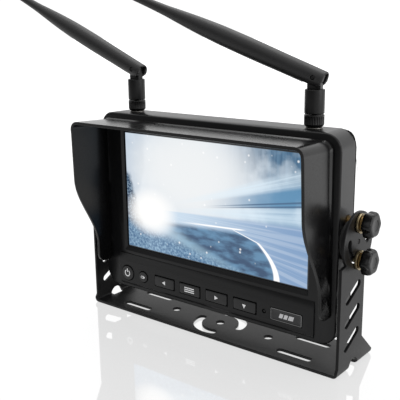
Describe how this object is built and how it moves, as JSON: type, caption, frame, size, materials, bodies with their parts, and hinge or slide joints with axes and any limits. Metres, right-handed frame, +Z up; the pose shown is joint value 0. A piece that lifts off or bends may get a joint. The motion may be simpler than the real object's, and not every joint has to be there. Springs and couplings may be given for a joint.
{
  "type": "reversing camera monitor",
  "caption": "Flat wireless reversing monitor tilting in a U-bracket, with a deep sun hood, a row of push buttons, lobed clamp knobs and folding whip antennas.",
  "frame": {"origin": "on the underside of the bracket's base plate, on the centreline, 8 mm in front of the row of bolt holes", "axes": "+X to the viewer's right along the bracket, +Y from the viewer towards the back of the monitor, +Z up"},
  "size_m": [0.3421, 0.0811, 0.2441],
  "materials": {
    "bracket_coat": "satin powder coat, fine grain",
    "housing_plastic": "fine-grained satin moulding",
    "hood_plastic": "fine-grained satin moulding",
    "gloss_black": "gloss",
    "button_plastic": "satin",
    "screen_glass": "clear polariser over a lit picture",
    "badge_metal": "brushed, blank",
    "steel": "zinc plated",
    "brass": "bright",
    "antenna_rubber": "soft moulding",
    "antenna_black": "satin",
    "rubber": "matt",
    "silicone": "matt",
    "board_green": "solder mask",
    "backlight": "white frame",
    "tinplate": "bright can",
    "coax_jacket": "satin"
  },
  "bodies": {
    "bracket": {"u_bracket": "bracket_coat"},
    "monitor": {"front_shell": "housing_plastic", "rear_cover": "housing_plastic", "housing_gasket": "rubber", "cover_screw_1": "steel", "cover_screw_2": "steel", "cover_screw_3": "steel", "cover_screw_4": "steel", "lcd_panel": "screen_glass", "backlight_unit": "backlight", "main_board": "board_green", "receiver_shield": "tinplate", "keypad_membrane": "silicone", "button_board": "board_green", "speaker": "rubber", "cable_gland": "rubber", "badge_plate": "badge_metal", "light_sensor": "gloss_black", "sun_hood": "hood_plastic", "friction_pad_left": "rubber", "friction_pad_right": "rubber", "threaded_insert_upper_left": "brass", "threaded_insert_lower_left": "brass", "threaded_insert_upper_right": "brass", "threaded_insert_lower_right": "brass", "antenna_jack_left": "steel", "antenna_jack_right": "steel", "antenna_lead_left": "coax_jacket", "antenna_lead_right": "coax_jacket"},
    "washers_upper_left": {"flat_washer_upper_left": "steel", "spring_washer_upper_left": "brass"},
    "knob_upper_left_body": {"knob_upper_left": "gloss_black", "knob_stud_upper_left": "steel"},
    "washers_lower_left": {"flat_washer_lower_left": "steel", "spring_washer_lower_left": "brass"},
    "knob_lower_left_body": {"knob_lower_left": "gloss_black", "knob_stud_lower_left": "steel"},
    "washers_upper_right": {"flat_washer_upper_right": "steel", "spring_washer_upper_right": "brass"},
    "knob_upper_right_body": {"knob_upper_right": "gloss_black", "knob_stud_upper_right": "steel"},
    "washers_lower_right": {"flat_washer_lower_right": "steel", "spring_washer_lower_right": "brass"},
    "knob_lower_right_body": {"knob_lower_right": "gloss_black", "knob_stud_lower_right": "steel"},
    "antenna_nut_left_body": {"antenna_nut_left": "antenna_black"},
    "antenna_barrel_left_body": {"antenna_barrel_left": "antenna_black"},
    "antenna_blade_left_body": {"antenna_blade_left": "antenna_rubber", "elbow_pin_left": "steel"},
    "antenna_nut_right_body": {"antenna_nut_right": "antenna_black"},
    "antenna_barrel_right_body": {"antenna_barrel_right": "antenna_black"},
    "antenna_blade_right_body": {"antenna_blade_right": "antenna_rubber", "elbow_pin_right": "steel"},
    "button_power_body": {"button_power": "button_plastic"},
    "button_source_body": {"button_source": "button_plastic"},
    "button_left_body": {"button_left": "button_plastic"},
    "button_menu_body": {"button_menu": "button_plastic"},
    "button_right_body": {"button_right": "button_plastic"},
    "button_down_body": {"button_down": "button_plastic"}
  },
  "joints": [
    {"name": "monitor_tilt", "type": "hinge", "parent": "bracket", "child": "monitor", "pos_m": [0, 0.0074, 0.0816], "axis": [1, 0, 0], "range_deg": [-90, 20]},
    {"name": "clamp_travel_upper_left", "type": "slide", "parent": "monitor", "child": "washers_upper_left", "axis": [-1, 0, 0], "range_m": [0, 0.0014]},
    {"name": "knob_turn_upper_left", "type": "hinge", "parent": "washers_upper_left", "child": "knob_upper_left_body", "pos_m": [-0.1082, 0.0074, 0.093], "axis": [-1, 0, 0], "range_deg": [0, 720]},
    {"name": "clamp_travel_lower_left", "type": "slide", "parent": "monitor", "child": "washers_lower_left", "axis": [-1, 0, 0], "range_m": [0, 0.0014]},
    {"name": "knob_turn_lower_left", "type": "hinge", "parent": "washers_lower_left", "child": "knob_lower_left_body", "pos_m": [-0.1082, 0.0074, 0.0702], "axis": [-1, 0, 0], "range_deg": [0, 720]},
    {"name": "clamp_travel_upper_right", "type": "slide", "parent": "monitor", "child": "washers_upper_right", "axis": [1, 0, 0], "range_m": [0, 0.0014]},
    {"name": "knob_turn_upper_right", "type": "hinge", "parent": "washers_upper_right", "child": "knob_upper_right_body", "pos_m": [0.1082, 0.0074, 0.093], "axis": [1, 0, 0], "range_deg": [0, 720]},
    {"name": "clamp_travel_lower_right", "type": "slide", "parent": "monitor", "child": "washers_lower_right", "axis": [1, 0, 0], "range_m": [0, 0.0014]},
    {"name": "knob_turn_lower_right", "type": "hinge", "parent": "washers_lower_right", "child": "knob_lower_right_body", "pos_m": [0.1082, 0.0074, 0.0702], "axis": [1, 0, 0], "range_deg": [0, 720]},
    {"name": "antenna_nut_turn_left", "type": "hinge", "parent": "monitor", "child": "antenna_nut_left_body", "pos_m": [-0.0724, 0.0063, 0.1515], "axis": [0, 0, 1], "continuous": true},
    {"name": "antenna_swivel_left", "type": "hinge", "parent": "monitor", "child": "antenna_barrel_left_body", "pos_m": [-0.0724, 0.0063, 0.16], "axis": [0, 0, 1], "range_deg": [-165, 150]},
    {"name": "antenna_elbow_left", "type": "hinge", "parent": "antenna_barrel_left_body", "child": "antenna_blade_left_body", "pos_m": [-0.0724, 0.0063, 0.1771], "axis": [0, 1, 0], "range_deg": [-23, 66.9]},
    {"name": "antenna_nut_turn_right", "type": "hinge", "parent": "monitor", "child": "antenna_nut_right_body", "pos_m": [0.0724, 0.0063, 0.1515], "axis": [0, 0, 1], "continuous": true},
    {"name": "antenna_swivel_right", "type": "hinge", "parent": "monitor", "child": "antenna_barrel_right_body", "pos_m": [0.0724, 0.0063, 0.16], "axis": [0, 0, 1], "range_deg": [-150, 165]},
    {"name": "antenna_elbow_right", "type": "hinge", "parent": "antenna_barrel_right_body", "child": "antenna_blade_right_body", "pos_m": [0.0724, 0.0063, 0.1771], "axis": [-0.1392, 0.9903, 0], "range_deg": [-20.7, 69.2]},
    {"name": "press_power", "type": "slide", "parent": "monitor", "child": "button_power_body", "axis": [0, 1, 0], "range_m": [0, 0.0006], "stiffness_N_per_m": 400, "springref_m": -0.0005},
    {"name": "press_source", "type": "slide", "parent": "monitor", "child": "button_source_body", "axis": [0, 1, 0], "range_m": [0, 0.0006], "stiffness_N_per_m": 400, "springref_m": -0.0005},
    {"name": "press_left", "type": "slide", "parent": "monitor", "child": "button_left_body", "axis": [0, 1, 0], "range_m": [0, 0.0006], "stiffness_N_per_m": 400, "springref_m": -0.0005},
    {"name": "press_menu", "type": "slide", "parent": "monitor", "child": "button_menu_body", "axis": [0, 1, 0], "range_m": [0, 0.0006], "stiffness_N_per_m": 400, "springref_m": -0.0005},
    {"name": "press_right", "type": "slide", "parent": "monitor", "child": "button_right_body", "axis": [0, 1, 0], "range_m": [0, 0.0006], "stiffness_N_per_m": 400, "springref_m": -0.0005},
    {"name": "press_down", "type": "slide", "parent": "monitor", "child": "button_down_body", "axis": [0, 1, 0], "range_m": [0, 0.0006], "stiffness_N_per_m": 400, "springref_m": -0.0005}
  ],
  "couplings": [
    {"joint": "knob_turn_upper_left", "follows": "clamp_travel_upper_left", "rad_per_m": 8976},
    {"joint": "knob_turn_lower_left", "follows": "clamp_travel_lower_left", "rad_per_m": 8976},
    {"joint": "knob_turn_upper_right", "follows": "clamp_travel_upper_right", "rad_per_m": 8976},
    {"joint": "knob_turn_lower_right", "follows": "clamp_travel_lower_right", "rad_per_m": 8976}
  ]
}
